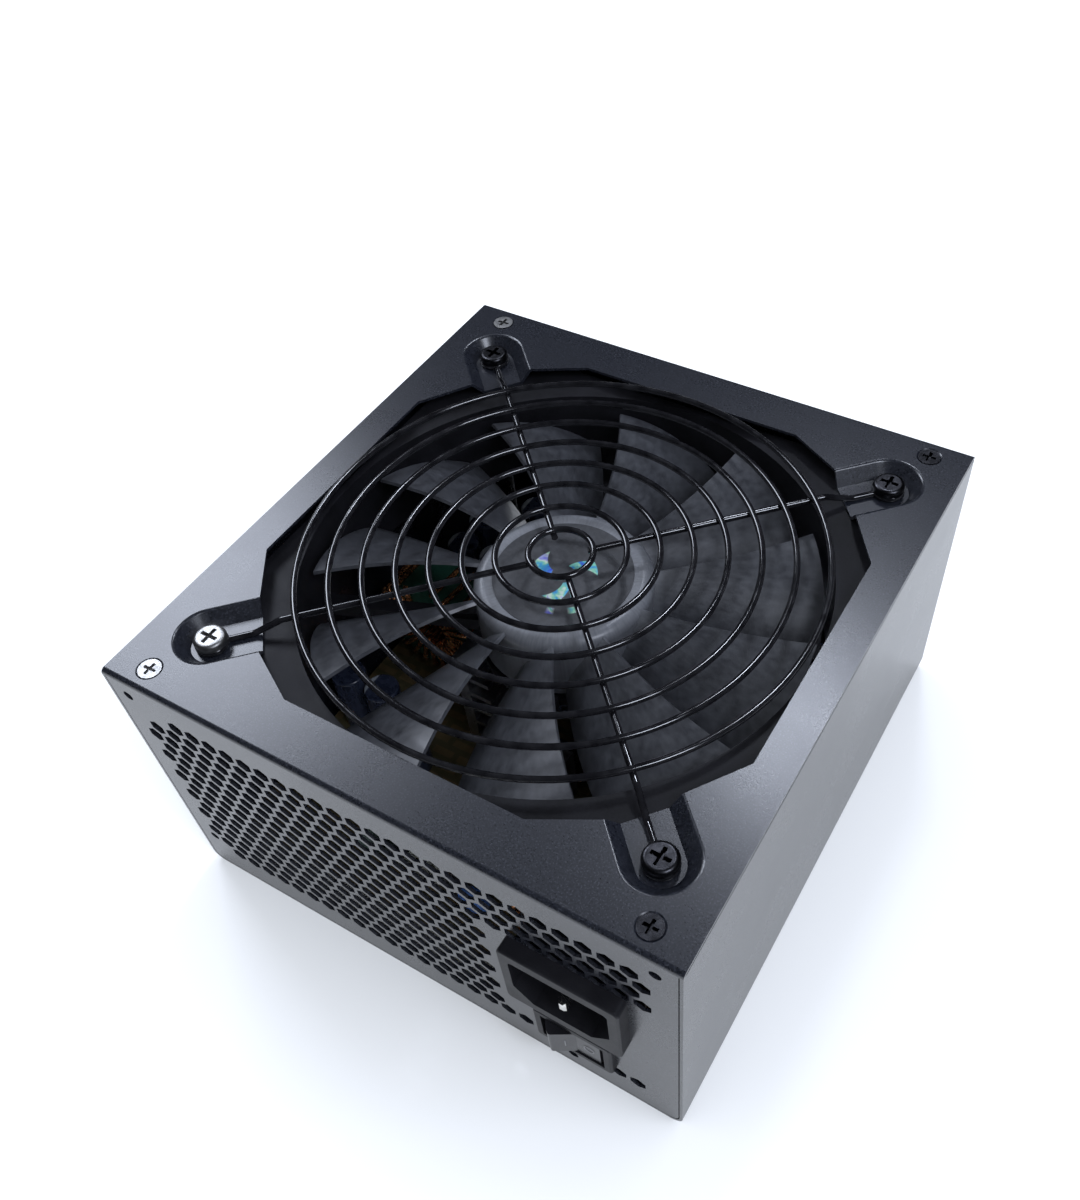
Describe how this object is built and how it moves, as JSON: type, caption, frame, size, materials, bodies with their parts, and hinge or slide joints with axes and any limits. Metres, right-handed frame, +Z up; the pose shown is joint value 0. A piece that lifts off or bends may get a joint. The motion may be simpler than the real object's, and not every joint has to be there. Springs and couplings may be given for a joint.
{
  "type": "computer power supply unit",
  "caption": "Desktop computer power supply unit in a vented black steel case, with a fan under a wire guard on top, a mains inlet and a rocker switch.",
  "frame": {"origin": "centre of the bottom face", "axes": "+Z up through the fan, -Y out of the rear panel with the mains inlet, +X to the right as the rear panel is seen"},
  "size_m": [0.15, 0.1646, 0.088],
  "materials": {
    "case": "satin black powder coat",
    "grommet_rubber": "matt",
    "bright_screw": "bright zinc plate",
    "black_screw": "black oxide",
    "guard_wire": "gloss black lacquer",
    "fan_plastic": "moulded",
    "bronze": "sintered bronze",
    "fan_board": "solder mask",
    "stator_steel": "laminated",
    "copper_wire": "enamelled copper",
    "fan_blade_plastic": "satin moulded",
    "foil_sticker": "iridescent foil",
    "rotor_steel": "zinc plate",
    "magnet": "sintered",
    "bright_steel": "ground",
    "inlet_plastic": "moulded",
    "pin_metal": "nickel plate",
    "switch_plastic": "moulded",
    "rocker_plastic": "satin moulded",
    "insulation_film": "clear film",
    "standoff_brass": "turned",
    "board": "laminate with solder mask",
    "heatsink": "extruded",
    "device_epoxy": "moulded epoxy",
    "ferrite": "sintered ferrite",
    "winding_tape": "polyester tape",
    "core_coating": "epoxy coat",
    "capacitor_sleeve": "shrink sleeve",
    "film_box": "moulded box",
    "ceramic_disc": "dipped",
    "fuse_glass": "clear",
    "thermistor_disc": "dipped"
  },
  "bodies": {
    "case": {"base_shell": "case", "fan_cover": "case", "cable_grommet": "grommet_rubber", "cover_screws_silver": "bright_screw", "cover_screws_black": "black_screw", "fan_screw_silver": "bright_screw", "fan_screws_black": "black_screw", "fan_guard": "guard_wire", "fan_frame": "fan_plastic", "fan_motor_mount": "fan_plastic", "fan_bearing": "bronze", "fan_circuit_board": "fan_board", "fan_stator_core": "stator_steel", "fan_stator_coils": "copper_wire", "inlet_housing": "inlet_plastic", "inlet_power_pins": "pin_metal", "inlet_earth_pin": "pin_metal", "switch_housing": "switch_plastic", "switch_terminals": "pin_metal", "insulation_sheet": "insulation_film", "board_standoffs": "standoff_brass", "board_screws": "bright_screw", "main_board": "board", "primary_heatsink": "heatsink", "secondary_heatsink": "heatsink", "power_transistors": "device_epoxy", "bridge_rectifier": "device_epoxy", "output_rectifiers": "device_epoxy", "heatsink_screws": "bright_screw", "transformer_core": "ferrite", "transformer_winding": "winding_tape", "standby_transformer_core": "ferrite", "standby_transformer_winding": "winding_tape", "output_choke_core": "core_coating", "output_choke_winding": "copper_wire", "pfc_choke_core": "ferrite", "pfc_choke_winding": "copper_wire", "filter_choke_core": "ferrite", "filter_choke_winding": "copper_wire", "bulk_capacitors": "capacitor_sleeve", "output_capacitors": "capacitor_sleeve", "film_capacitors": "film_box", "ceramic_capacitors": "ceramic_disc", "fuse_tube": "fuse_glass", "fuse_caps": "pin_metal", "inrush_thermistor": "thermistor_disc", "control_board": "board", "control_chips": "device_epoxy"},
    "fan_rotor": {"fan_impeller": "fan_blade_plastic", "hub_sticker": "foil_sticker", "fan_rotor_cup": "rotor_steel", "fan_magnet_ring": "magnet", "fan_shaft": "bright_steel"},
    "rocker": {"switch_rocker": "rocker_plastic"}
  },
  "joints": [
    {"name": "fan_spin", "type": "hinge", "parent": "case", "child": "fan_rotor", "pos_m": [0, 0.0003, 0.07], "axis": [0, 0, 1], "continuous": true},
    {"name": "rocker_tip", "type": "hinge", "parent": "case", "child": "rocker", "pos_m": [0.0472, -0.077, 0.0215], "axis": [0, 0, 1], "range_deg": [-30, 0]}
  ]
}
